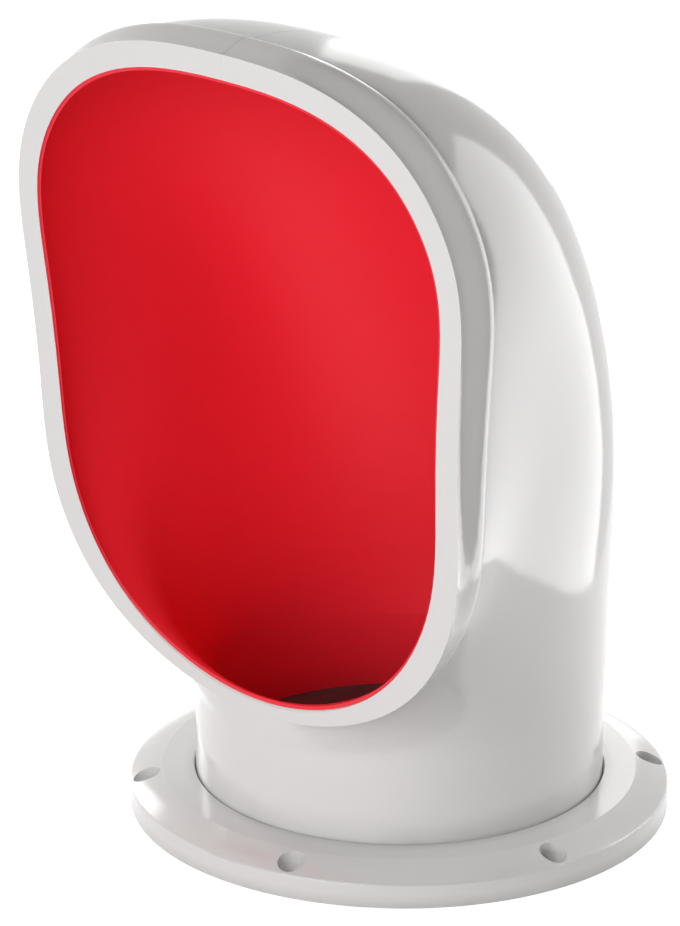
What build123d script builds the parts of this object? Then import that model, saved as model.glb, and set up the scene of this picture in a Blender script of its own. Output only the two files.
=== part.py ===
from build123d import *
from math import sin, cos, pi, radians, sqrt
import os

os.makedirs("parts", exist_ok=True)

# Driving dimensions in millimetres. The origin is the centre of the flange's
# underside, +Z points up from the deck and the mouth faces -Y.

# Neck and foot of the cowl
neck_d = 148.4
wall = 5.0                 # shell and lining together, at the neck
lining_t = 1.5
foot_t = 5.0
foot_step = 0.2            # the foot is this much slimmer than the neck
foot_lip = 9.2             # the foot reaches this far in from the lining
spigot_wall = 6.8
lap = 0.6                  # how deep solids of one moulding run into each other

# Deck flange
flange_w = 23.8            # from the neck to the flange's outer edge
flange_edge_h = 8.9        # upright outer edge
flange_rise = 4.5          # from there to the crest of the curved slope
slope_bulge = 0.62         # share of the rise reached above the screw holes
crest_in = 11.8            # crest, in from the outer edge
inner_rise = 0.4           # from the crest to where the neck comes out
edge_round = 0.9
bore_lead = 0.5
hole_in = 5.8              # screw holes, in from the outer edge
hole_count = 6
hole_turn = 18.7           # degrees from -Y towards +X, the first hole
hole_d = 5.4
hole_head_d = 9.8
head_sunk = 3.3            # the countersink starts this far below the slope
ledge_h = 3.0              # thickness of the ledge the cowl turns on
ledge_w = 4.4
recess_h = 4.0             # underside recess for the retaining ring
recess_gap = 3.0           # radial, round that ring
seal_in = 2.2              # land between the recess and the seal's groove
seal_w = 3.6
seal_h = 2.4

# Mouth, measured in its own plane
mouth_set = 2.8            # the plane cuts the deck this far behind the neck's front
mouth_lean = 3.8           # degrees, the top leans forward
lip_level = 55.4           # lower edge of the lip above the deck
lip_rise = 11.2            # the neck is straight up to here below that edge
opening_half_w = 95.3
opening_top = 65.1         # from the widest level up
opening_bottom = 164.8     # from the widest level down
land_w = 9.5               # flat face of the rim beside the opening
land_top_w = 9.1
land_low_w = 4.2
land_spread = 0.55         # share by which its sides have widened at the bottom
bevel_w = 2.0              # the bead's wall slopes out by this much at the side
bevel_top_w = 2.6
bevel_low_w = 0.8
bevel_taper = 0.65         # share by which the bead's back has narrowed below
bead_low = 0.8             # the hood runs into the bead above this share of the
                           # opening's height below its widest level
bevel_deep = 13.6
bevel_round = (0.45, 0.62) # share of depth and width where the wall bulges
rim_back = 1.0             # from the bevel's end to the back of the bead
rim_turn = 0.6             # the bead draws in by this much to its back
rim_side = 8.0             # hood skin outside the opening, at the side
rim_top = 9.0              # the same at the top
rim_fade = 5               # power by which the skin thickens towards the rim
lip_fade = 3               # the same round the lower lip, from the neck on
lip_roll = 9.0             # how strongly the lower lip rolls up behind the rim
lining_recess = 0.6        # the lining stops this far behind the rim's face

# Half outline of the mouth, from the bottom to the top at equal steps:
# share of the half width, share of the height below or above the widest level
mouth_shape = [(0, -1), (0.396, -0.953), (0.725, -0.819), (0.912, -0.613),
               (0.953, -0.379), (0.983, -0.144), (0.987, 0.228),
               (0.774, 0.722), (0.405, 0.956), (0, 1)]

# Sections of the hood from the neck to the mouth: share of the whole turn,
# and how much each has of the growth in reach and in width
hood_turn = [0.0, 0.08, 0.22, 0.38, 0.55, 0.72, 0.87, 1.0]
hood_reach = [0.0, 0.02, 0.063, 0.196, 0.442, 0.79, 1.01, 1.0]
hood_width = [0.0, 0.011, 0.119, 0.303, 0.523, 0.752, 0.985, 1.0]

# Bearing, seals and retaining ring
bearing_h = 1.0
running_gap = 0.3
neck_gap = 0.3             # radial, neck in the flange
fit_gap = 0.2              # radial, pieces pushed into a bore
oring_t = 3.0
oring_play = 0.2           # the groove is this much taller than the cord
retainer_h = 2.8
retainer_step = 1.5        # its bore is this much smaller than the foot's
retainer_screw_count = 6
screw_d = 3.0
screw_head_d = 5.6
screw_len = 6.5
screw_slot = 0.8
screw_play = 0.2           # radial, in the piece that is clamped

# Closing shutter
grille_h = 2.5
grille_screw_count = 4
slot_count = 4
slot_margin = 4.0          # degrees a slot is narrower than the bar beside it
slot_edge = 3.25           # web between a slot's end and the stop pin's slot
slot_inner_edge = 1.5      # web between the hub and a slot
slot_round = 2.0
shutter_h = 2.0
shutter_play = 0.55        # radial, from the disc to the grille screws' heads
hub_d = 37.0
hub_h = 4.0
stop_d = 3.0
stop_in = 5.0              # the pin, in from the disc's edge
stop_gap = 0.25
stop_angle = 70.0          # degrees from +X
knob_foot_h = 2.2
knob_h = 12.4
knob_wall = 4.0
knob_floor_h = 3.0
knob_cap_h = 2.0
knob_seat = 1.0            # ledge the cap sits on
flute_count = 8
flute_d = 4.4
knob_screw_count = 3
knob_screw_len = 5.2
knob_screw_edge = 0.6      # from a screw's head to the edge of the knob's foot
pan_head_h = 2.0
head_gap = 0.3             # from a screw's head to the knob's grip
bolt_d = 6.0
bolt_across = 10.0
bolt_head_h = 2.2
pivot_gap = 0.05           # radial, the shutter on its bolt
washer_d = 14.0
washer_h = 1.2
nut_h = 4.0

# Insect screen
screen_step = 3.0          # its bore is this much smaller than the foot's
screen_groove = 3.4        # depth of the groove that takes the wires' ends
wire_t = 1.0
wire_pitch = 8.0

# Radii and levels that follow from those above
neck_r = neck_d / 2
foot_r = neck_r - foot_step
shell_wall = wall - lining_t
cavity_r = neck_r - shell_wall
lining_r = neck_r - wall
foot_bore_r = lining_r - foot_lip
flange_bore_r = neck_r + neck_gap
flange_r = neck_r + flange_w
crest_r = flange_r - crest_in
hole_circle_r = flange_r - hole_in
ledge_bore_r = flange_bore_r - ledge_w
spigot_r = ledge_bore_r - neck_gap
spigot_bore_r = spigot_r - spigot_wall
recess_r = flange_bore_r + recess_gap
seal_in_r = recess_r + seal_in
seal_out_r = seal_in_r + seal_w
groove_r = flange_bore_r - oring_t
retainer_screw_r = (spigot_r + spigot_bore_r) / 2
screen_bore_r = foot_bore_r - screen_step
screen_groove_r = screen_bore_r + screen_groove
grille_screw_r = (foot_bore_r + cavity_r) / 2
shutter_r = grille_screw_r - screw_head_d / 2 - shutter_play
stop_r = shutter_r - stop_in
slot_out_r = stop_r - stop_d / 2 - stop_gap - slot_edge
hub_r = hub_d / 2
slot_in_r = hub_r + slot_inner_edge
knob_screw_r = hub_r - knob_screw_edge - screw_head_d / 2
knob_r = knob_screw_r - screw_head_d / 2 - head_gap
knob_bore_r = knob_r - knob_wall

flange_mid_h = flange_edge_h + slope_bulge * flange_rise
flange_crest_h = flange_edge_h + flange_rise
flange_top_h = flange_crest_h + inner_rise
hole_head_h = flange_mid_h - head_sunk
ledge_top_h = recess_h + ledge_h
foot_h = ledge_top_h + bearing_h
foot_top_h = foot_h + foot_t
oring_h = (foot_h + foot_top_h) / 2
groove_h = (oring_t + oring_play) / 2
retainer_top_h = recess_h - running_gap
retainer_low_h = retainer_top_h - retainer_h
wire_level = (retainer_top_h + foot_h) / 2
grille_top_h = foot_top_h + grille_h
shutter_low_h = grille_top_h + running_gap
hub_top_h = shutter_low_h + hub_h
knob_foot_top_h = hub_top_h + knob_foot_h
knob_floor_top_h = hub_top_h + knob_floor_h
nut_low_h = knob_floor_top_h + washer_h
knob_top_h = knob_foot_top_h + knob_h
head_cone_h = (screw_head_d - screw_d) / 2
bar_angle = 180 / slot_count
slot_angle = bar_angle - slot_margin

sin_lean = sin(radians(mouth_lean))
cos_lean = cos(radians(mouth_lean))
mouth_y = mouth_set - neck_r
widest_level = lip_level + land_low_w + opening_bottom
neck_top_h = lip_level * cos_lean - lip_rise
rim_depth = bevel_deep + rim_back


def mouth_plane(back):
    """The plane of the rim's face moved back into the hood. Its origin is the
    middle of the widest level, its x points sideways and its y up."""
    return Plane(origin=(0, mouth_y - widest_level * sin_lean + back * cos_lean,
                         widest_level * cos_lean + back * sin_lean),
                 x_dir=(1, 0, 0), z_dir=(0, -cos_lean, -sin_lean))


def mouth_points(side, top, bottom, spread=0):
    """Half of the opening's outline, let out at side, top and bottom. Spread
    is the share by which the sides are let out further towards the bottom."""
    half = []
    for w, h in mouth_shape:
        up = opening_top + top if h > 0 else opening_bottom + bottom
        out = side if h > 0 else side * (1 + spread * h * h)
        half.append((w * (opening_half_w + out), h * up))
    return half


def hood_plane(k):
    """Plane of hood section k. The planes lean over one after the other, from
    level at the neck to the mouth's own plane, hinged near the lower lip."""
    share = hood_turn[k]
    y = -neck_r + share * (mouth_set - lip_level * sin_lean)
    z = neck_top_h + share * lip_rise
    tilt = radians(share * (90 + mouth_lean))
    return Plane(origin=(0, y, z), x_dir=(1, 0, 0), z_dir=(0, -sin(tilt), cos(tilt)))


def hood_points(k, skin):
    """Half outline of hood section k, drawn in by a skin that thickens into the
    rim, and sooner into the rolled lower lip. It changes from the neck's circle
    to the shape of the mouth."""
    share = hood_turn[k]
    blend = share * share * (3 - 2 * share)
    low = opening_bottom + land_low_w
    high = opening_top + rim_top
    side = front = back = 0
    if skin:
        rim = share ** rim_fade
        lip = 1 - (1 - share) ** lip_fade
        side = skin + rim * (rim_side - shell_wall)
        back = skin + rim * (rim_top - shell_wall)
        front = skin + lip * (land_low_w - shell_wall)
        front += lip_roll * share * share * sqrt(1 - share)
    reach = neck_d + hood_reach[k] * (low + high - neck_d) - front - back
    half_w = neck_r + hood_width[k] * (opening_half_w + rim_side - neck_r) - side
    middle = (low - front) / (low + high - front - back)
    half = []
    for i, (w, h) in enumerate(mouth_shape):
        turn = pi * i / (len(mouth_shape) - 1)
        y_circle = (1 - cos(turn)) / 2
        y_mouth = middle + h * (1 - middle if h > 0 else middle)
        drawn = 0 if h > 0 else bevel_taper * h * h * (rim_side - side)
        half.append(((1 - blend) * half_w * sin(turn) + blend * w * (half_w - drawn),
                     front + reach * ((1 - blend) * y_circle + blend * y_mouth)))
    return half


def half_outline(pts):
    """One smooth half that leaves and meets the middle plane level, closed by
    a line along that plane."""
    Spline(*pts, tangents=((1, 0), (-1, 0)), tangent_scalars=(1, 1))
    Line(pts[-1], pts[0])


# Cowl shell: neck, hood and rim in one moulding. The sections fan out from the
# level neck to the upright mouth; one half is lofted and then mirrored
with BuildPart() as hood_form:
    for k in range(len(hood_turn)):
        with BuildSketch(hood_plane(k)):
            with BuildLine():
                half_outline(hood_points(k, 0))
            make_face()
    loft()
    with BuildSketch(hood_plane(0)):
        with BuildLine():
            half_outline(hood_points(0, 0))
        make_face()
    extrude(amount=foot_top_h - lap - neck_top_h)
    mirror(about=Plane.YZ)
    # the front edge goes, the rim's bead takes its place
    with BuildSketch(mouth_plane(rim_depth - lap)):
        with Locations((0, -bead_low * opening_bottom)):
            Rectangle(4 * flange_r, 4 * flange_r, align=(Align.CENTER, Align.MIN))
    extrude(amount=2 * rim_depth, mode=Mode.SUBTRACT)

# The bead is lofted through outlines of the mouth, each a little further back
with BuildPart() as rim_bead:
    for back, out in ((0, 0), bevel_round, (1, 1)):
        with BuildSketch(mouth_plane(back * bevel_deep)):
            with BuildLine():
                half_outline(mouth_points(land_w + out * bevel_w,
                                          land_top_w + out * bevel_top_w,
                                          land_low_w + out * bevel_low_w,
                                          land_spread - out * (land_spread + bevel_taper)))
            make_face()
    with BuildSketch(mouth_plane(rim_depth)):
        with BuildLine():
            half_outline(mouth_points(land_w + bevel_w - rim_turn,
                                      land_top_w + bevel_top_w - rim_turn,
                                      land_low_w + bevel_low_w, -bevel_taper))
        make_face()
    loft()
    mirror(about=Plane.YZ)

# The cavity holds the lining, the hollow inside it is the way of the air
with BuildPart() as cavity:
    for k in range(len(hood_turn)):
        with BuildSketch(hood_plane(k)):
            with BuildLine():
                half_outline(hood_points(k, shell_wall))
            make_face()
    loft()
    with BuildSketch(hood_plane(0)):
        with BuildLine():
            half_outline(hood_points(0, shell_wall))
        make_face()
    extrude(amount=foot_top_h - neck_top_h)
    mirror(about=Plane.YZ)

with BuildPart() as hollow:
    for k in range(len(hood_turn)):
        with BuildSketch(hood_plane(k)):
            with BuildLine():
                half_outline(hood_points(k, wall))
            make_face()
    loft()
    with BuildSketch(hood_plane(0)):
        with BuildLine():
            half_outline(hood_points(0, wall))
        make_face()
    extrude(amount=foot_top_h - neck_top_h)
    mirror(about=Plane.YZ)

# The foot closes the cavity below; its groove takes the neck seal and its
# spigot goes down through the flange's ledge
with BuildPart() as cowl_shell:
    add(hood_form.part)
    add(rim_bead.part)
    add(cavity.part, mode=Mode.SUBTRACT)
    with BuildSketch(Plane.XZ):
        Polygon((foot_bore_r, foot_top_h), (foot_bore_r, foot_h),
                (spigot_bore_r, foot_h), (spigot_bore_r, retainer_top_h),
                (spigot_r, retainer_top_h), (spigot_r, foot_h), (foot_r, foot_h),
                (foot_r, oring_h - groove_h), (groove_r, oring_h - groove_h),
                (groove_r, oring_h + groove_h), (foot_r, oring_h + groove_h),
                (foot_r, foot_top_h), align=None)
    revolve(axis=Axis.Z)
    with BuildSketch(Plane.XY.offset(foot_h)):
        Circle(foot_bore_r)
    extrude(amount=foot_top_h - foot_h, mode=Mode.SUBTRACT)
    with PolarLocations(grille_screw_r, grille_screw_count, bar_angle):
        with Locations((0, 0, foot_top_h)):
            Hole(screw_d / 2, depth=screw_len - grille_h)
    with PolarLocations(retainer_screw_r, retainer_screw_count):
        with Locations((0, 0, retainer_top_h)):
            Cylinder(screw_d / 2, screw_len - retainer_h, mode=Mode.SUBTRACT,
                     align=(Align.CENTER, Align.CENTER, Align.MIN))

# Red lining, bonded all over the inside of the shell
with BuildPart() as cowl_lining:
    add(cavity.part)
    add(hollow.part, mode=Mode.SUBTRACT)
    with BuildSketch(Plane.XY.offset(grille_top_h)):
        Circle(neck_r)
    extrude(amount=-grille_top_h, mode=Mode.SUBTRACT)
    with BuildSketch(mouth_plane(lining_recess)):
        Rectangle(4 * flange_r, 4 * flange_r)
    extrude(amount=2 * rim_depth, mode=Mode.SUBTRACT)

# Deck flange: turned profile with ledge, recess and seal groove
with BuildPart() as deck_flange:
    with BuildSketch(Plane.XZ):
        with BuildLine():
            slope = ThreePointArc((flange_r, flange_edge_h),
                                  (hole_circle_r, flange_mid_h),
                                  (crest_r, flange_crest_h))
            Polyline(slope @ 1, (flange_bore_r + bore_lead, flange_top_h),
                     (flange_bore_r, flange_top_h - bore_lead),
                     (flange_bore_r, ledge_top_h), (ledge_bore_r, ledge_top_h),
                     (ledge_bore_r, recess_h), (recess_r, recess_h),
                     (recess_r, 0), (seal_in_r - fit_gap, 0),
                     (seal_in_r - fit_gap, seal_h), (seal_out_r + fit_gap, seal_h),
                     (seal_out_r + fit_gap, 0), (flange_r, 0),
                     slope @ 0)
        make_face()
        fillet(vertices().sort_by_distance((flange_r, flange_edge_h))[0], edge_round)
    revolve(axis=Axis.Z)
    with PolarLocations(hole_circle_r, hole_count, hole_turn - 90):
        with Locations((0, 0, hole_head_h)):
            Hole(hole_d / 2)
            Cylinder(hole_head_d / 2, flange_top_h, mode=Mode.SUBTRACT,
                     align=(Align.CENTER, Align.CENTER, Align.MIN))
            Cone(hole_d / 2, hole_head_d / 2, (hole_head_d - hole_d) / 2,
                 mode=Mode.SUBTRACT, align=(Align.CENTER, Align.CENTER, Align.MAX))

with BuildPart() as deck_seal:
    with BuildSketch():
        Circle(seal_out_r)
        Circle(seal_in_r, mode=Mode.SUBTRACT)
    extrude(amount=seal_h)

# Slip ring the foot of the cowl turns on
with BuildPart() as bearing_ring:
    with BuildSketch(Plane.XY.offset(ledge_top_h)):
        Circle(flange_bore_r - fit_gap)
        Circle(ledge_bore_r + fit_gap, mode=Mode.SUBTRACT)
    extrude(amount=bearing_h)

# Round cord in the neck's groove: seals and gives the turning its drag
with BuildPart() as neck_seal:
    with BuildSketch(Plane.XZ):
        with Locations((groove_r + oring_t / 2, oring_h)):
            Circle(oring_t / 2)
    revolve(axis=Axis.Z)

# Retaining ring, screwed up against the spigot from below
with BuildPart() as retaining_ring:
    with BuildSketch(Plane.XY.offset(retainer_low_h)):
        Circle(flange_bore_r)
        Circle(foot_bore_r - retainer_step, mode=Mode.SUBTRACT)
    extrude(amount=retainer_h)
    with PolarLocations(retainer_screw_r, retainer_screw_count):
        with Locations((0, 0, retainer_low_h)):
            Hole(screw_d / 2 + screw_play)
            Cone(screw_head_d / 2 + screw_play, screw_d / 2 + screw_play, head_cone_h,
                 mode=Mode.SUBTRACT, align=(Align.CENTER, Align.CENTER, Align.MIN))

with BuildPart() as retaining_screws:
    with PolarLocations(retainer_screw_r, retainer_screw_count):
        with Locations((0, 0, retainer_low_h)):
            Cone(screw_head_d / 2, screw_d / 2, head_cone_h,
                 align=(Align.CENTER, Align.CENTER, Align.MIN))
            Cylinder(screw_d / 2, screw_len, align=(Align.CENTER, Align.CENTER, Align.MIN))
            Box(screw_head_d, screw_slot, 2 * screw_slot, mode=Mode.SUBTRACT)

# Insect screen: a ring held between spigot and retaining ring, wires both ways
with BuildPart() as screen_frame:
    with BuildSketch(Plane.XZ):
        Polygon((screen_bore_r, retainer_top_h),
                (spigot_bore_r - fit_gap, retainer_top_h),
                (spigot_bore_r - fit_gap, foot_h), (screen_bore_r, foot_h),
                (screen_bore_r, wire_level + wire_t),
                (screen_groove_r, wire_level + wire_t),
                (screen_groove_r, wire_level - wire_t),
                (screen_bore_r, wire_level - wire_t), align=None)
    revolve(axis=Axis.Z)

wire_count = int(screen_groove_r / wire_pitch)
with BuildPart() as screen_warp:
    for i in range(-wire_count, wire_count + 1):
        with Locations((i * wire_pitch, 0, wire_level)):
            Box(wire_t, 2 * sqrt(screen_groove_r ** 2 - (abs(i) * wire_pitch + wire_t / 2) ** 2),
                wire_t, align=(Align.CENTER, Align.CENTER, Align.MAX))

with BuildPart() as screen_weft:
    for i in range(-wire_count, wire_count + 1):
        with Locations((0, i * wire_pitch, wire_level)):
            Box(2 * sqrt(screen_groove_r ** 2 - (abs(i) * wire_pitch + wire_t / 2) ** 2), wire_t,
                wire_t, align=(Align.CENTER, Align.CENTER, Align.MIN))

# Closing shutter: the same openings in a fixed plate and in a disc that turns
with BuildSketch() as openings:
    half = radians(slot_angle / 2)
    with PolarLocations(0, slot_count):
        Polygon((0, 0), (2 * slot_out_r * cos(half), -2 * slot_out_r * sin(half)),
                (2 * slot_out_r * cos(half), 2 * slot_out_r * sin(half)), align=None)
    Circle(slot_out_r, mode=Mode.INTERSECT)
    Circle(slot_in_r, mode=Mode.SUBTRACT)
    fillet(openings.vertices(), slot_round)

with BuildPart() as grille_plate:
    with BuildSketch(Plane.XY.offset(foot_top_h)):
        Circle(cavity_r - fit_gap)
        Circle(bolt_d / 2, mode=Mode.SUBTRACT)
        add(openings.sketch, mode=Mode.SUBTRACT)
        with PolarLocations(stop_r, 1, stop_angle):
            Circle(stop_d / 2, mode=Mode.SUBTRACT)
    extrude(amount=grille_h)
    with PolarLocations(grille_screw_r, grille_screw_count, bar_angle):
        with Locations((0, 0, grille_top_h)):
            Hole(screw_d / 2 + screw_play)
            Cone(screw_d / 2 + screw_play, screw_head_d / 2 + screw_play, head_cone_h,
                 mode=Mode.SUBTRACT, align=(Align.CENTER, Align.CENTER, Align.MAX))

with BuildPart() as grille_screws:
    with PolarLocations(grille_screw_r, grille_screw_count, bar_angle):
        with Locations((0, 0, grille_top_h)):
            Cone(screw_d / 2, screw_head_d / 2, head_cone_h,
                 align=(Align.CENTER, Align.CENTER, Align.MAX))
            Cylinder(screw_d / 2, screw_len, align=(Align.CENTER, Align.CENTER, Align.MAX))
            Box(screw_head_d, screw_slot, 2 * screw_slot, mode=Mode.SUBTRACT)

with BuildPart() as stop_pin:
    with PolarLocations(stop_r, 1, stop_angle):
        with Locations((0, 0, foot_top_h)):
            Cylinder(stop_d / 2, grille_h + running_gap + shutter_h,
                     align=(Align.CENTER, Align.CENTER, Align.MIN))

with BuildPart() as shutter_disc:
    with BuildSketch(Plane.XY.offset(shutter_low_h)):
        Circle(shutter_r)
        add(openings.sketch, mode=Mode.SUBTRACT)
        SlotArc(CenterArc((0, 0), stop_r, stop_angle - bar_angle, bar_angle),
                stop_d + 2 * stop_gap, mode=Mode.SUBTRACT)
    extrude(amount=shutter_h)
    with BuildSketch(Plane.XY.offset(shutter_low_h)):
        Circle(hub_r)
    extrude(amount=hub_h)
    Hole(bolt_d / 2 + pivot_gap)
    with PolarLocations(knob_screw_r, knob_screw_count):
        Hole(screw_d / 2)

with BuildPart() as shutter_knob:
    with BuildSketch(Plane.XY.offset(hub_top_h)):
        Circle(hub_r)
    extrude(amount=knob_foot_h)
    with BuildSketch(Plane.XY.offset(hub_top_h)):
        Circle(knob_r)
        with PolarLocations(knob_r + flute_d / 4, flute_count):
            Circle(flute_d / 2, mode=Mode.SUBTRACT)
    extrude(amount=knob_foot_h + knob_h)
    with BuildSketch(Plane.XY.offset(knob_floor_top_h)):
        Circle(knob_bore_r)
    extrude(until=Until.LAST, mode=Mode.SUBTRACT)
    with BuildSketch(Plane.XY.offset(knob_top_h - knob_cap_h)):
        Circle(knob_bore_r + knob_seat)
    extrude(until=Until.LAST, mode=Mode.SUBTRACT)
    Hole(bolt_d / 2 + pivot_gap)
    with PolarLocations(knob_screw_r, knob_screw_count):
        Hole(screw_d / 2 + screw_play)

with BuildPart() as knob_screws:
    with PolarLocations(knob_screw_r, knob_screw_count):
        with Locations((0, 0, knob_foot_top_h)):
            Cylinder(screw_d / 2, knob_screw_len, align=(Align.CENTER, Align.CENTER, Align.MAX))
            Cylinder(screw_head_d / 2, pan_head_h, align=(Align.CENTER, Align.CENTER, Align.MIN))
        with Locations((0, 0, knob_foot_top_h + pan_head_h)):
            Box(screw_head_d, screw_slot, 2 * screw_slot, mode=Mode.SUBTRACT)

with BuildPart() as knob_cap:
    with Locations((0, 0, knob_top_h)):
        Cylinder(knob_bore_r + knob_seat - fit_gap / 2, knob_cap_h,
                 align=(Align.CENTER, Align.CENTER, Align.MAX))
    chamfer(knob_cap.edges().group_by(Axis.Z)[-1], knob_cap_h / 4)

# Bolt, spring washer and nut the shutter turns on
with BuildPart() as pivot_bolt:
    with BuildSketch(Plane.XY.offset(foot_top_h)):
        RegularPolygon(bolt_across / 2, 6, major_radius=False)
    extrude(amount=-bolt_head_h)
    with BuildSketch(Plane.XY.offset(foot_top_h)):
        Circle(bolt_d / 2)
    extrude(amount=nut_low_h + nut_h + running_gap - foot_top_h)

with BuildPart() as pivot_washer:
    with BuildSketch(Plane.XY.offset(knob_floor_top_h)):
        Circle(washer_d / 2)
        Circle(bolt_d / 2 + pivot_gap, mode=Mode.SUBTRACT)
    extrude(amount=washer_h)

with BuildPart() as pivot_nut:
    with BuildSketch(Plane.XY.offset(nut_low_h)):
        RegularPolygon(bolt_across / 2, 6, major_radius=False)
        Circle(bolt_d / 2, mode=Mode.SUBTRACT)
    extrude(amount=nut_h)

deck_flange.part.label = "deck_flange"
export_step(deck_flange.part, "parts/deck_flange.step")
deck_seal.part.label = "deck_seal"
export_step(deck_seal.part, "parts/deck_seal.step")
bearing_ring.part.label = "bearing_ring"
export_step(bearing_ring.part, "parts/bearing_ring.step")
cowl_shell.part.label = "cowl_shell"
export_step(cowl_shell.part, "parts/cowl_shell.step")
cowl_lining.part.label = "cowl_lining"
export_step(cowl_lining.part, "parts/cowl_lining.step")
neck_seal.part.label = "neck_seal"
export_step(neck_seal.part, "parts/neck_seal.step")
retaining_ring.part.label = "retaining_ring"
export_step(retaining_ring.part, "parts/retaining_ring.step")
retaining_screws.part.label = "retaining_screws"
export_step(retaining_screws.part, "parts/retaining_screws.step")
screen_frame.part.label = "screen_frame"
export_step(screen_frame.part, "parts/screen_frame.step")
screen_warp.part.label = "screen_warp"
export_step(screen_warp.part, "parts/screen_warp.step")
screen_weft.part.label = "screen_weft"
export_step(screen_weft.part, "parts/screen_weft.step")
grille_plate.part.label = "grille_plate"
export_step(grille_plate.part, "parts/grille_plate.step")
grille_screws.part.label = "grille_screws"
export_step(grille_screws.part, "parts/grille_screws.step")
stop_pin.part.label = "stop_pin"
export_step(stop_pin.part, "parts/stop_pin.step")
shutter_disc.part.label = "shutter_disc"
export_step(shutter_disc.part, "parts/shutter_disc.step")
shutter_knob.part.label = "shutter_knob"
export_step(shutter_knob.part, "parts/shutter_knob.step")
knob_screws.part.label = "knob_screws"
export_step(knob_screws.part, "parts/knob_screws.step")
knob_cap.part.label = "knob_cap"
export_step(knob_cap.part, "parts/knob_cap.step")
pivot_bolt.part.label = "pivot_bolt"
export_step(pivot_bolt.part, "parts/pivot_bolt.step")
pivot_washer.part.label = "pivot_washer"
export_step(pivot_washer.part, "parts/pivot_washer.step")
pivot_nut.part.label = "pivot_nut"
export_step(pivot_nut.part, "parts/pivot_nut.step")
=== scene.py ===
# %% [markdown]
# # Deck vent
# A cowl ventilator for a boat's deck. A white moulded hood with a red inside
# turns on a round flange, and down in the neck a hand-turned shutter closes the
# airway. The shapes come from the imported CAD model, in metres and in one shared
# frame. This script adds what CAD doesn't have: finishes, light and a camera.

# %% Load the frame
from math import radians, sin, cos

import bpy
from mathutils import Matrix, Vector

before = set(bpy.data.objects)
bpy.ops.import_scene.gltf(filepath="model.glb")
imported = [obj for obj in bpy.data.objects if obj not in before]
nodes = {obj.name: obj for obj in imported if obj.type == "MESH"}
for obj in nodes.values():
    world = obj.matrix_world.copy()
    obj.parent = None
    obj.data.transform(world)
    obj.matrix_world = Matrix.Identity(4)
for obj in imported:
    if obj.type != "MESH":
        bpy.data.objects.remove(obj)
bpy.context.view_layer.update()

# %% [markdown]
# ## Camera
# The photograph was taken from the front right, a little above, with a long
# lens. A camera could be placed by eye, but the vent has circles of known size:
# the flange's ellipse gives the height of the camera, the six holes give its
# turn, and the slight difference between near and far gives the distance. So
# the camera is placed by those numbers, looking at a point near the vent's axis.

# %% Camera
azimuth, elevation, roll = radians(43.34), radians(19.963), radians(0.272)
distance, aim_up, aim_side = 1.7864, 0.12914, -0.02212

back = Vector((sin(azimuth) * cos(elevation), -cos(azimuth) * cos(elevation), sin(elevation)))
level = Vector((cos(azimuth), sin(azimuth), 0))
over = back.cross(level)
right = level * cos(roll) + over * sin(roll)
up = back.cross(right)
eye = level * aim_side + Vector((0, 0, aim_up)) + back * distance

camera = bpy.data.objects.new("camera", bpy.data.cameras.new("camera"))
camera.data.sensor_width = 36
camera.data.lens = 194.384
camera.data.clip_end = 20
camera.matrix_world = Matrix.Translation(eye) @ Matrix((right, up, back)).transposed().to_4x4()
bpy.context.scene.collection.objects.link(camera)
bpy.context.scene.camera = camera
print("camera at", [round(v, 3) for v in eye])

# %% [markdown]
# ## Soft skins and crisp edges
# A mesh from CAD is made of flat facets. Smooth shading hides them on the hood,
# but alone it would also smear the creases at the rim, the screw holes and the
# shutter's windows. A bevel modifier could round those edges, but the CAD mesh
# has to stay as it is. So the mesh is shaded smooth, and each edge that turns by
# more than a set angle is marked sharp.

# %% Shading
crease_angle = 32
for obj in nodes.values():
    obj.data.shade_smooth()
    obj.data.set_sharp_from_angle(angle=radians(crease_angle))
print("creases kept above", crease_angle, "degrees on", len(nodes), "meshes")

# %% [markdown]
# ## Helpers for node trees
# Every finish below is a small network of nodes. It could be drawn by hand in
# the shader editor, but code can be read and repeated. Five helpers keep the
# cells short: `feed` gives a socket a value or a link, `put` adds a node and
# fills its sockets by name, `calc` adds a Math node, `blend` mixes two colours,
# and `ramp` stretches a range of values onto another. A value may be a plain
# number, a colour, or the output socket of an earlier node.

# %% Node helpers
def feed(tree, socket, value):
    if isinstance(value, bpy.types.NodeSocket):
        tree.links.new(value, socket)
    else:
        socket.default_value = value


def put(tree, kind, **inputs):
    node = tree.nodes.new("ShaderNode" + kind)
    for name, value in inputs.items():
        feed(tree, node.inputs[name.replace("_", " ")], value)
    return node


def calc(tree, operation, *values):
    node = put(tree, "Math")
    node.operation = operation
    for socket, value in zip(node.inputs, values):
        feed(tree, socket, value)
    return node.outputs[0]


def blend(tree, share, first, second):
    node = put(tree, "Mix")
    node.data_type = "RGBA"
    for index, value in ((0, share), (6, first), (7, second)):
        feed(tree, node.inputs[index], value)
    return node.outputs[2]


def ramp(tree, value, low, high, to_low=0.0, to_high=1.0):
    node = put(tree, "MapRange", Value=value, From_Min=low, From_Max=high,
               To_Min=to_low, To_Max=to_high)
    return node.outputs["Result"]


# %% [markdown]
# Two more helpers give a point's place and a noise. Object coordinates are used
# throughout: they are in metres, so a grain has a real size, and they belong to
# the piece, so its marks stay on it when it turns.

# %% Place and noise
def spot_on(tree):
    return put(tree, "TexCoord").outputs["Object"]


def noise(tree, scale, detail, place=None, roughness=0.5):
    if place is None:
        place = spot_on(tree)
    node = put(tree, "TexNoise", Vector=place, Scale=scale, Detail=detail, Roughness=roughness)
    return node.outputs["Fac"]


print("helpers: feed, put, calc, blend, ramp, spot_on, noise")
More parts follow.
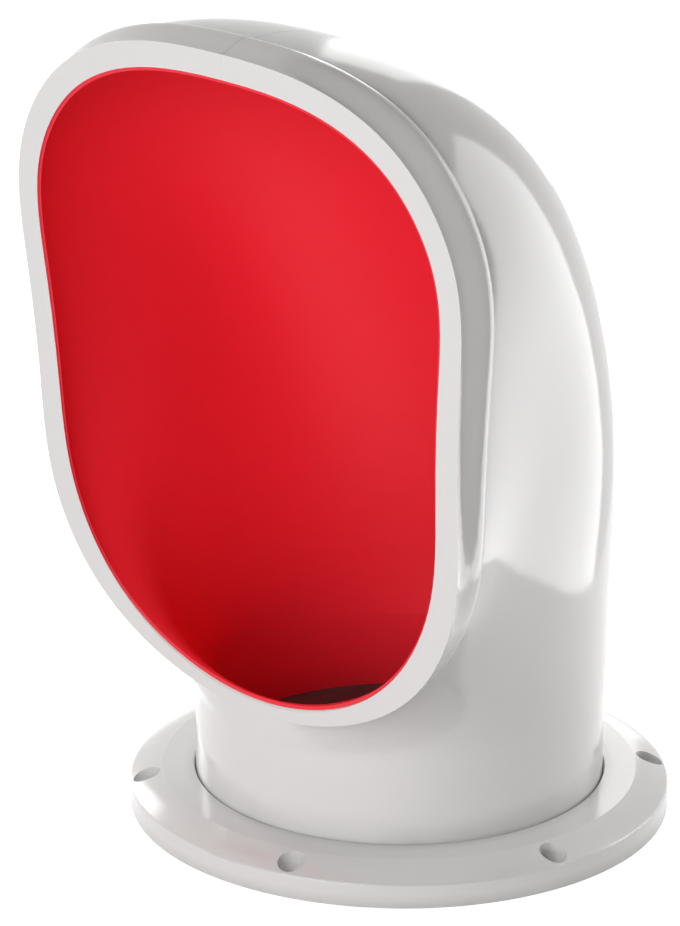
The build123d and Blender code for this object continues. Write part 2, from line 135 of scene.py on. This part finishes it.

# %% [markdown]
# ## Shared effects
# Several materials here show the same things: the skin that a mould leaves,
# dust that settles on top, shade painted darker into corners, and edges rubbed pale.
# Each could be built again in every material, but then a correction has to be
# made many times. So each is a node group, made once and placed in a material
# with that material's own numbers. A group only puts out masks and heights; the
# shader itself stays in the material.

# %% Group helpers
def new_group(name, takes, gives):
    group = bpy.data.node_groups.new(name, "ShaderNodeTree")
    for label, value in takes:
        socket = group.interface.new_socket(label, in_out="INPUT", socket_type="NodeSocketFloat")
        socket.default_value = value
    for label in gives:
        group.interface.new_socket(label, in_out="OUTPUT", socket_type="NodeSocketFloat")
    entry = group.nodes.new("NodeGroupInput")
    result = group.nodes.new("NodeGroupOutput")
    print("group:", name, "gives", " and ".join(gives))
    return group, entry.outputs, result.inputs


def use(tree, group, **inputs):
    node = put(tree, "Group")
    node.node_tree = group
    for name, value in inputs.items():
        feed(tree, node.inputs[name.replace("_", " ")], value)
    return node.outputs


# %% [markdown]
# ### Moulded skin
# Injection-moulded plastic isn't a perfect mirror. Broad shallow ripples come
# from the cooling, and a finer grain from the steel of the mould. A bitmap of
# them would need unwrapped meshes, so two noises are mixed instead. The same
# group gives a slow tone, for uneven colour.

# %% Moulded skin
skin, take, give = new_group(
    "moulded skin", [("Ripple", 60.0), ("Grain", 1500.0), ("Grain Share", 0.1)],
    ["Height", "Tone"])
place = spot_on(skin)
broad = noise(skin, take["Ripple"], 1.5, place)
fine = noise(skin, take["Grain"], 3.0, place)
ripple_share = calc(skin, "SUBTRACT", 1.0, take["Grain Share"])
feed(skin, give["Height"], calc(skin, "ADD", calc(skin, "MULTIPLY", broad, ripple_share),
                                calc(skin, "MULTIPLY", fine, take["Grain Share"])))
feed(skin, give["Tone"], ramp(skin, noise(skin, 11.0, 5.0, place, roughness=0.6), 0.3, 0.7))
print("moulded skin:", len(skin.nodes), "nodes")

# %% [markdown]
# ### Settled dust
# Dust lies where a surface faces up. It could be painted by hand, but the
# surface's own direction tells where up is, and a patchy noise keeps it from
# looking like a coat of paint.

# %% Settled dust
dust, take, give = new_group("settled dust", [("Amount", 0.1), ("Patches", 40.0)], ["Mask"])
facing_up = put(dust, "SeparateXYZ", Vector=put(dust, "NewGeometry").outputs["Normal"]).outputs["Z"]
patchy = ramp(dust, noise(dust, take["Patches"], 6.0, roughness=0.7), 0.35, 0.75, 0.3)
lying = calc(dust, "MULTIPLY", ramp(dust, facing_up, 0.35, 0.95), patchy)
feed(dust, give["Mask"], calc(dust, "MULTIPLY", lying, take["Amount"]))
print("settled dust:", len(dust.nodes), "nodes")

# %% [markdown]
# ### Painted corner shade
# Where two faces meet in a hollow, less light gets in, and this group paints that
# shade into the colour, so the plastic is made a little grey there. Ambient
# occlusion measures how closed in a point is; its reach is a real length.

# %% Painted corner shade
painted_shade, take, give = new_group("corner grime", [("Reach", 0.006), ("Amount", 0.4)], ["Mask"])
open_share = put(painted_shade, "AmbientOcclusion", Distance=take["Reach"])
open_share.samples = 3
# Painted shade: the more closed in a point is, the larger the mask that darkens its colour.
closed_in = ramp(painted_shade, open_share.outputs["AO"], 0.95, 0.35)
uneven = ramp(painted_shade, noise(painted_shade, 90.0, 4.0), 0.2, 0.8, 0.55)
painted_dark = calc(painted_shade, "MULTIPLY", closed_in, uneven)
feed(painted_shade, give["Mask"], calc(painted_shade, "MULTIPLY", painted_dark, take["Amount"]))
print("corner grime:", len(painted_shade.nodes), "nodes")

# %% [markdown]
# ### Rubbed edges
# Hands, ropes and tools polish the outer edges. The Bevel node gives the normal
# that the surface would have if its edges were rounded; where that differs from
# the true normal, there is an edge. This finds edges without any extra geometry.

# %% Rubbed edges
rubbed, take, give = new_group("rubbed edges", [("Width", 0.0006), ("Amount", 0.5)], ["Mask"])
rounded = put(rubbed, "Bevel", Radius=take["Width"])
rounded.samples = 4
alike = put(rubbed, "VectorMath")
alike.operation = "DOT_PRODUCT"
feed(rubbed, alike.inputs[0], rounded.outputs["Normal"])
feed(rubbed, alike.inputs[1], put(rubbed, "NewGeometry").outputs["Normal"])
edge = ramp(rubbed, alike.outputs["Value"], 0.995, 0.86)
broken = ramp(rubbed, noise(rubbed, 260.0, 3.0), 0.3, 0.62)
bare = calc(rubbed, "MULTIPLY", edge, broken)
feed(rubbed, give["Mask"], calc(rubbed, "MULTIPLY", bare, take["Amount"]))
print("rubbed edges:", len(rubbed.nodes), "nodes")

# %% [markdown]
# ### Drawn lines
# Rolled sheet and drawn wire keep fine lines along the direction in which they
# were worked. A noise that is squeezed in two directions and stretched in the
# third makes them. Stainless steel uses it for its brightness and its bump.

# %% Drawn lines
drawn, take, give = new_group(
    "drawn lines", [("Across", 2600.0), ("Along", 90.0)], ["Height", "Tone"])
squeeze = put(drawn, "CombineXYZ", X=take["Along"], Y=take["Across"], Z=take["Across"])
stretched = put(drawn, "VectorMath")
stretched.operation = "MULTIPLY"
feed(drawn, stretched.inputs[0], spot_on(drawn))
feed(drawn, stretched.inputs[1], squeeze.outputs["Vector"])
lines = noise(drawn, 1.0, 3.0, stretched.outputs["Vector"])
feed(drawn, give["Height"], lines)
feed(drawn, give["Tone"], ramp(drawn, lines, 0.3, 0.7))
print("drawn lines:", len(drawn.nodes), "nodes")

# %% [markdown]
# ## A recipe for moulded pieces
# All the plastics and rubbers of the vent are finished the same way, so one recipe
# builds them: the colour wanders a little with the slow tone, corners are painted
# darker as shade, edges are rubbed pale, dust lies on top, and the skin gives the
# bump. What differs is the colour, the gloss and the amounts. Sizes are in metres,
# and a noise of 1000 has grains of about a millimetre.

# %% Moulded recipe
dust_colour = (0.42, 0.39, 0.35, 1)
dust_patches, edge_width = 45.0, 0.0006


def towards(colour, keep, lift=0.0):
    return (*[c * keep + lift for c in colour], 1)


def new_material(name):
    mat = bpy.data.materials.new(name)
    mat.use_nodes = True
    return mat, mat.node_tree, mat.node_tree.nodes["Principled BSDF"]


def moulded(name, colour, gloss, ripple=60.0, grain=1500.0, grain_share=0.1, relief=0.00002,
            uneven=0.04, corner_shade=0.3, reach=0.006, dusty=0.08, rub=0.2):
    mat, tree, shader = new_material(name)
    surface = use(tree, skin, Ripple=ripple, Grain=grain, Grain_Share=grain_share)
    corner = use(tree, painted_shade, Reach=reach, Amount=corner_shade)["Mask"]
    lying = use(tree, dust, Amount=dusty, Patches=dust_patches)["Mask"]
    shade = blend(tree, surface["Tone"], towards(colour, 1 - uneven), (*colour, 1))
    # Painted shade: closed-in corners are darkened towards a third of the colour.
    shade = blend(tree, corner, shade, towards(colour, 0.35, 0.01))
    if rub:
        worn = use(tree, rubbed, Width=edge_width, Amount=rub)["Mask"]
        shade = blend(tree, worn, shade, towards(colour, 0.8, 0.16))
    feed(tree, shader.inputs["Base Color"], blend(tree, lying, shade, dust_colour))
    rough = ramp(tree, surface["Tone"], 0, 1, gloss * 1.15, gloss * 0.9)
    rough = calc(tree, "ADD", rough, calc(tree, "MULTIPLY", lying, 1.2))
    rough = calc(tree, "ADD", rough, calc(tree, "MULTIPLY", corner, 0.4))
    feed(tree, shader.inputs["Roughness"], calc(tree, "MINIMUM", rough, 1.0))
    bump = put(tree, "Bump", Height=surface["Height"], Distance=relief, Strength=1.0)
    feed(tree, shader.inputs["Normal"], bump.outputs["Normal"])
    return mat


# %% [markdown]
# A finish could be added beside whatever slot a CAD node comes with, but then the
# faces would have to be told which slot is theirs. So the slots are cleared and
# the one finished material is put in; the mesh isn't touched.

# %% Dress a node
def dress(mat, *names):
    for name in names:
        nodes[name].data.materials.clear()
        nodes[name].data.materials.append(mat)
    print(mat.name, "->", ", ".join(names))


# %% [markdown]
# ## White cowl
# The hood is one moulding in a very glossy white that is meant to last outdoors.
# Its mould closes along the plane through the middle of the mouth, and a fine
# raised line is left there, which shows on top of the rim and is rubbed away
# lower down. The line could be cut into the CAD model, but at a fifth of a
# millimetre it is only something the light catches, so it is a second bump on
# top of the skin's.

# %% Cowl
seam_half_width, seam_relief = 0.0004, 0.00018
seam_fades_from, seam_whole_from = 0.22, 0.27

# Its corner shade paints the groove behind the rim and the other hollows darker.
cowl_white = moulded("cowl white", (0.76, 0.745, 0.738), 0.10, ripple=26.0, grain=900.0,
                     grain_share=0.04, relief=0.0003, uneven=0.025, corner_shade=0.35, reach=0.012,
                     dusty=0.05, rub=0.0)
tree = cowl_white.node_tree
shader = tree.nodes["Principled BSDF"]
spot = put(tree, "SeparateXYZ", Vector=spot_on(tree)).outputs
seam = ramp(tree, calc(tree, "ABSOLUTE", spot["X"]), 0.0, seam_half_width, 1.0, 0.0)
seam = calc(tree, "MULTIPLY", seam, ramp(tree, spot["Z"], seam_fades_from, seam_whole_from))
ridge = put(tree, "Bump", Height=seam, Distance=seam_relief, Strength=1.0,
            Normal=shader.inputs["Normal"].links[0].from_socket)
feed(tree, shader.inputs["Normal"], ridge.outputs["Normal"])
dress(cowl_white, "cowl_shell")

# %% [markdown]
# ## White flange
# The flange is the same white, from another mould. Its corners and screw holes
# are painted darker with more shade than the cowl's, and as it lies nearest the
# deck, its outer edge is rubbed.
# The cowl's material could be shared, but these amounts tell the two apart.

# %% Flange
flange_white = moulded("flange white", (0.755, 0.744, 0.738), 0.13, ripple=34.0, grain=900.0,
                       grain_share=0.05, relief=0.0002, uneven=0.03, corner_shade=0.55, reach=0.005,
                       dusty=0.06, rub=0.1)
dress(flange_white, "deck_flange")

# %% [markdown]
# ## Red inside
# The inside of the hood is a red skin, deep in colour and smooth. A lamp inside
# could brighten it, but light bounces around in a hollow, so a strong red is
# enough. It mirrors less than the white, and its specular level is lowered.

# %% Lining
# Its corner shade paints the hollows inside the hood darker.
lining_red = moulded("lining red", (0.92, 0.024, 0.045), 0.42, ripple=22.0, grain=700.0,
                     grain_share=0.08, relief=0.0003, uneven=0.05, corner_shade=0.25, reach=0.012,
                     dusty=0.02, rub=0.0)
lining_red.node_tree.nodes["Principled BSDF"].inputs["Specular IOR Level"].default_value = 0.35
dress(lining_red, "cowl_lining")

# %% [markdown]
# ## Black plastics
# The grille and the shutter are black with a spark-eroded grain, so they don't
# glare through the mouth. The knob is smoother, from years of fingers, and the
# screen's frame is between the two. Black shows wear as pale edges and dust, so
# these have more of both than the whites.

# %% Grille, shutter, knob and frame
grille_black = moulded("grille black", (0.022, 0.022, 0.024), 0.46, grain=2300.0,
                       grain_share=0.9, relief=0.00006, uneven=0.2, corner_shade=0.3, dusty=0.22,
                       rub=0.3)
dress(grille_black, "grille_plate", "shutter_disc")
knob_black = moulded("knob black", (0.02, 0.02, 0.021), 0.30, grain=1700.0, grain_share=0.5,
                     relief=0.00003, uneven=0.15, dusty=0.1, rub=0.45)
dress(knob_black, "shutter_knob", "knob_cap")
frame_black = moulded("frame black", (0.028, 0.028, 0.029), 0.4, grain=1900.0, grain_share=0.7,
                      relief=0.00004, uneven=0.2, dusty=0.18, rub=0.3)
dress(frame_black, "screen_frame")

# %% [markdown]
# ## Rubber, slip ring and retaining ring
# The seals are dull black rubber with a bloom. The slip ring is an unpigmented,
# milky plastic that feels waxy, and the retaining ring is a plain grey moulding.
# All three are the same recipe with other colours, gloss and grain.

# %% Seals and rings
seal_rubber = moulded("seal rubber", (0.03, 0.03, 0.031), 0.72, grain=2600.0, grain_share=0.8,
                      relief=0.00008, uneven=0.3, corner_shade=0.2, dusty=0.3, rub=0.15)
dress(seal_rubber, "deck_seal", "neck_seal")
slip_milky = moulded("slip ring milky", (0.70, 0.67, 0.58), 0.38, grain=1200.0, grain_share=0.4,
                     relief=0.00003, uneven=0.05, dusty=0.05, rub=0.1)
dress(slip_milky, "bearing_ring")
ring_grey = moulded("ring grey", (0.33, 0.335, 0.34), 0.36, grain=1500.0, grain_share=0.5,
                    relief=0.00004, uneven=0.08, corner_shade=0.4, dusty=0.08, rub=0.3)
dress(ring_grey, "retaining_ring")

# %% [markdown]
# ## Stainless steel
# The screws, pin, bolt, washer and nut are stainless, and so is the wire of the
# screen. Steel is a metal: its colour is that of its reflection, so the shader
# is fully metallic and the drawn lines vary the roughness. The wire is duller
# than the screws, because it is drawn and not turned.

# %% Steel recipe
# A brownish colour for painted shade in corners, with the tint of a stain.
stain_and_shade = (0.12, 0.10, 0.08, 1)


def steel(name, colour, bright, dull, across, along):
    mat, tree, shader = new_material(name)
    shader.inputs["Metallic"].default_value = 1.0
    marks = use(tree, drawn, Across=across, Along=along)
    # Painted shade: closed-in corners are darkened towards the brownish colour.
    corner = use(tree, painted_shade, Reach=0.002, Amount=0.5)["Mask"]
    shade = blend(tree, marks["Tone"], towards(colour, 0.88), (*colour, 1))
    feed(tree, shader.inputs["Base Color"], blend(tree, corner, shade, stain_and_shade))
    rough = ramp(tree, marks["Tone"], 0, 1, dull, bright)
    rough = calc(tree, "ADD", rough, calc(tree, "MULTIPLY", corner, 0.3))
    feed(tree, shader.inputs["Roughness"], rough)
    bump = put(tree, "Bump", Height=marks["Height"], Distance=0.00001, Strength=1.0)
    feed(tree, shader.inputs["Normal"], bump.outputs["Normal"])
    return mat


# %% Fasteners and wire
turned_steel = steel("turned steel", (0.60, 0.59, 0.575), 0.2, 0.36, 2600.0, 120.0)
dress(turned_steel, "retaining_screws", "grille_screws", "stop_pin", "knob_screws",
      "pivot_bolt", "pivot_washer", "pivot_nut")
drawn_wire = steel("drawn wire", (0.56, 0.555, 0.545), 0.3, 0.48, 4200.0, 60.0)
dress(drawn_wire, "screen_warp", "screen_weft")

# %% [markdown]
# ## Table
# A plain white table top. Under soft lamps a white sheet is never quite as white
# as the paper of a catalogue, and brighter lamps bleach the vent. So for rays
# that come straight from the camera, or by way of gloss or glass, the table
# glows a little; the lamps' own light on it stays, and with it the shadow of the
# vent. The table ends close to the vent on the right, out of the picture, so the
# hood's side mirrors what stands beyond it.

# %% Stage helpers
def sheet(name, corners):
    mesh = bpy.data.meshes.new(name)
    mesh.from_pydata(corners, [], [(0, 1, 2, 3)])
    obj = bpy.data.objects.new(name, mesh)
    bpy.context.scene.collection.objects.link(obj)
    print(name, "from", [round(v, 2) for v in corners[0]], "to", [round(v, 2) for v in corners[2]])
    return obj


def around(turn, away, height):
    return Vector((sin(radians(turn)) * away, -cos(radians(turn)) * away, height))


def seen_directly(tree, otherwise, seen):
    path = put(tree, "LightPath").outputs
    mirrored = calc(tree, "MAXIMUM", path["Is Glossy Ray"], path["Is Transmission Ray"])
    either = calc(tree, "MAXIMUM", path["Is Camera Ray"], mirrored)
    return ramp(tree, either, 0, 1, otherwise, seen)


# %% Table
table_edge, table_reach, table_glow = 0.21, 3, 0.6

inward = Vector((-sin(azimuth), cos(azimuth), 0))
table = sheet("table top", [level * side + inward * depth for side, depth in (
    (-table_reach, -table_reach), (table_edge, -table_reach),
    (table_edge, table_reach), (-table_reach, table_reach))])
paper, tree, shader = new_material("white paper")
fibres = noise(tree, 700.0, 4.0)
feed(tree, shader.inputs["Base Color"],
     blend(tree, fibres, (0.86, 0.86, 0.86, 1), (0.9, 0.9, 0.9, 1)))
shader.inputs["Roughness"].default_value = 0.9
shader.inputs["Emission Color"].default_value = (1, 1, 1, 1)
feed(tree, shader.inputs["Emission Strength"], seen_directly(tree, 0.0, table_glow))
table.data.materials.append(paper)

# %% [markdown]
# ## Lamps
# The photograph shows one broad light from the front, which fills the red
# inside, a strip on the left that brightens the edge of the neck, and a tall
# panel behind on the right, which the hood's side mirrors with crisp edges. A
# weaker one behind on the left lights the back. Point lamps would leave small
# hard spots, so all are large soft boxes. The panel reaches below the table top,
# as its reflection does on the hood. All are weak enough that the white keeps
# its shape from every side. A softbox is placed by its turn around the vent from
# the front, its distance and its height, and looks at a height on the vent's
# axis.

# %% Lamps
def softbox(name, turn, away, height, look, size, power):
    data = bpy.data.lights.new(name, "AREA")
    data.shape = "RECTANGLE"
    data.size, data.size_y = size
    data.energy = power
    obj = bpy.data.objects.new(name, data)
    obj.location = around(turn, away, height)
    aim = Vector((0, 0, look)) - obj.location
    obj.rotation_euler = aim.to_track_quat("-Z", "Y").to_euler()
    obj.visible_camera = False
    bpy.context.scene.collection.objects.link(obj)
    print(name, "at", [round(v, 2) for v in obj.location], power, "W")


softbox("front softbox", 16, 1.5, 0.62, 0.15, (1.1, 0.9), 11.4)
softbox("left strip", -100, 1.2, 0.3, 0.15, (0.35, 0.8), 5.5)
softbox("back right panel", 155, 0.85, 0.23, 0.23, (0.6, 1.32), 6.2)
softbox("back left softbox", -146, 1.3, 0.5, 0.5, (0.35, 1.0), 2.2)

# %% [markdown]
# ## Black cards
# Black cards stand outside the picture, one overhead and one on each side. A
# photographer uses such cards to give white things an outline: without them the
# white hood would mirror a white room and lose its shape. A darker world could
# do it too, but it would darken every reflection and not only these three.

# %% Black cards
card_black, tree, shader = new_material("card black")
felt = noise(tree, 400.0, 2.0)
feed(tree, shader.inputs["Base Color"],
     blend(tree, felt, (0.015, 0.015, 0.015, 1), (0.03, 0.03, 0.03, 1)))
shader.inputs["Roughness"].default_value = 0.95


def standing(turns, away, low, high):
    first, last = turns
    return [around(first, away, low), around(first, away, high),
            around(last, away, high), around(last, away, low)]


for name, corners in (
        ("card overhead", [(-0.4, -0.7, 0.85), (0.8, -0.7, 0.85),
                           (0.8, 0.5, 0.85), (-0.4, 0.5, 0.85)]),
        ("card on the right", standing((62, 134), 1.0, -0.6, 0.9)),
        ("card on the left", standing((-20, -50), 1.2, 0.15, 0.9))):
    card = sheet(name, corners)
    card.visible_camera = False
    card.data.materials.append(card_black)

# %% [markdown]
# ## Room
# The world is a dim even room for the light that falls on the vent, and plain
# white where the camera, gloss or glass looks at it. A backdrop could give the
# same white, but the world reaches round to every other view.

# %% Room
room_light = 0.6

world = bpy.data.worlds.new("room")
bpy.context.scene.world = world
world.use_nodes = True
background = world.node_tree.nodes["Background"]
background.inputs["Color"].default_value = (1, 1, 1, 1)
feed(world.node_tree, background.inputs["Strength"],
     seen_directly(world.node_tree, room_light, 1.0))
bpy.context.scene.view_settings.view_transform = "Standard"
print("room light", room_light)
